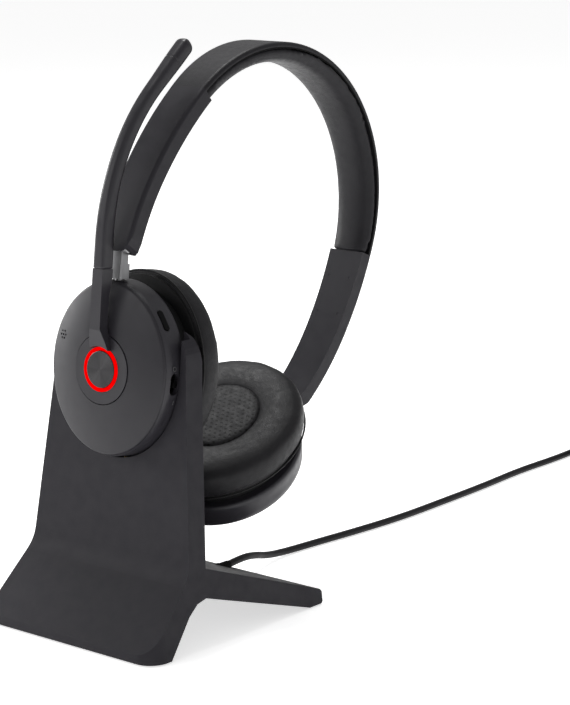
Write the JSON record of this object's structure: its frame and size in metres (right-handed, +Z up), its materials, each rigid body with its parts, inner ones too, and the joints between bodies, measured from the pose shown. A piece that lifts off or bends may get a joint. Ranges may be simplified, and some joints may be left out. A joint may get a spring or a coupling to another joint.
{
  "type": "wireless office headset on charging stand",
  "caption": "Wireless on-ear office headset with a turning boom microphone and sprung headband, docked by one ear cup on a weighted charging stand with its USB lead.",
  "frame": {"origin": "on the surface the stand rests on, at the middle of the headset and stand's bounding box (the lead and its plug not counted)", "axes": "+Z up; -Y towards the front of the stand, the side the docked cup's outer face looks to; +X to the right of someone facing that side"},
  "size_m": [0.1151, 0.3955, 0.2208],
  "materials": {
    "stand_plastic": "fine matte grain",
    "cup_plastic": "satin",
    "arm_plastic": "satin",
    "boom_plastic": "satin",
    "key_plastic": "semi-gloss",
    "inner_plastic": "plain moulded",
    "ballast": "raw",
    "foot_rubber": "matte",
    "cord_rubber": "satin",
    "contact_gold": "polished",
    "circuit": "solder mask",
    "steel": "brushed",
    "stem_metal": "satin",
    "cell_foil": "foil",
    "pad_leather": "fine grain, semi-gloss",
    "pad_cloth": "perforated",
    "led_red": "light pipe"
  },
  "bodies": {
    "stand": {"stand_body": "stand_plastic", "stand_back_panel": "stand_plastic", "stand_rear_leg": "stand_plastic", "stand_leg_cover": "stand_plastic", "stand_weight": "ballast", "stand_weight_cover": "stand_plastic", "stand_feet": "foot_rubber", "charge_block": "key_plastic", "charge_pins": "contact_gold", "charge_board": "circuit", "stand_screws": "steel", "cord_relief": "cord_rubber", "cord_lead": "cord_rubber", "cord_coil": "cord_rubber", "cord_tie": "cord_rubber", "cord_tail": "cord_rubber", "plug_grip": "cord_rubber", "plug_shell": "steel"},
    "docked_cup": {"near_cover": "cup_plastic", "near_rim": "cup_plastic", "near_baffle": "inner_plastic", "near_driver": "steel", "near_cushion": "pad_leather", "near_speaker_cloth": "pad_cloth", "near_swivel_bush": "inner_plastic", "near_cup_screws": "steel", "main_board": "circuit", "battery": "cell_foil", "hub_post": "inner_plastic", "led_ring": "led_red", "charge_contacts": "contact_gold"},
    "call_button": {"call_button": "key_plastic"},
    "mute_button": {"mute_button": "key_plastic"},
    "power_switch": {"power_switch": "key_plastic"},
    "boom": {"boom_hub": "boom_plastic", "boom_tube": "boom_plastic", "boom_cap": "boom_plastic", "boom_mic": "steel"},
    "near_stem": {"near_stem": "stem_metal"},
    "near_slider": {"near_slider": "steel", "near_tilt_pin": "steel"},
    "headband": {"near_arm_shell": "arm_plastic", "near_arm_cover": "arm_plastic", "far_arm_shell": "arm_plastic", "far_arm_cover": "arm_plastic", "crown_cover": "arm_plastic", "crown_pad": "pad_leather", "band_spring": "steel", "arm_screws": "steel"},
    "far_slider": {"far_slider": "steel", "far_tilt_pin": "steel"},
    "far_stem": {"far_stem": "stem_metal"},
    "free_cup": {"far_cover": "cup_plastic", "far_rim": "cup_plastic", "far_baffle": "inner_plastic", "far_driver": "steel", "far_cushion": "pad_leather", "far_speaker_cloth": "pad_cloth", "far_swivel_bush": "inner_plastic", "far_cup_screws": "steel"}
  },
  "joints": [
    {"name": "dock_lift", "type": "slide", "parent": "stand", "child": "docked_cup", "axis": [0, 0.0967, 0.9953], "range_m": [0, 0.12]},
    {"name": "boom_turn", "type": "hinge", "parent": "docked_cup", "child": "boom", "pos_m": [0, -0.0688, 0.10127], "axis": [0, 0.9953, -0.0967], "range_deg": [-135, 135]},
    {"name": "call_press", "type": "slide", "parent": "docked_cup", "child": "call_button", "axis": [0, 0.9953, -0.0967], "range_m": [0, 0.0004], "stiffness_N_per_m": 800, "springref_m": -0.0008},
    {"name": "mute_press", "type": "slide", "parent": "docked_cup", "child": "mute_button", "axis": [-0.8174, -0.0557, -0.5733], "range_m": [0, 0.0004], "stiffness_N_per_m": 600, "springref_m": -0.0006},
    {"name": "power_slide", "type": "slide", "parent": "docked_cup", "child": "power_switch", "axis": [-0.0618, -0.0965, -0.9934], "range_m": [-0.0011, 0.0011]},
    {"name": "near_swivel", "type": "hinge", "parent": "docked_cup", "child": "near_stem", "pos_m": [0, -0.05873, 0.13043], "axis": [0, 0.0967, 0.9953], "range_deg": [-12, 12]},
    {"name": "near_tilt", "type": "hinge", "parent": "near_stem", "child": "near_slider", "pos_m": [0, -0.05838, 0.14587], "axis": [1, 0, 0], "range_deg": [0, 5]},
    {"name": "near_extend", "type": "slide", "parent": "near_slider", "child": "headband", "axis": [0, 0.4621, 0.8868], "range_m": [0, 0.018]},
    {"name": "far_extend", "type": "slide", "parent": "headband", "child": "far_slider", "axis": [0, -0.7147, -0.6994], "range_m": [0, 0.012]},
    {"name": "far_tilt", "type": "hinge", "parent": "far_slider", "child": "far_stem", "pos_m": [0, 0.04268, 0.0709], "axis": [1, 0, 0], "range_deg": [0, 20]},
    {"name": "far_swivel", "type": "hinge", "parent": "far_stem", "child": "free_cup", "pos_m": [0, 0.02844, 0.06494], "axis": [0, 0.8916, 0.4529], "range_deg": [-28, 2]}
  ]
}
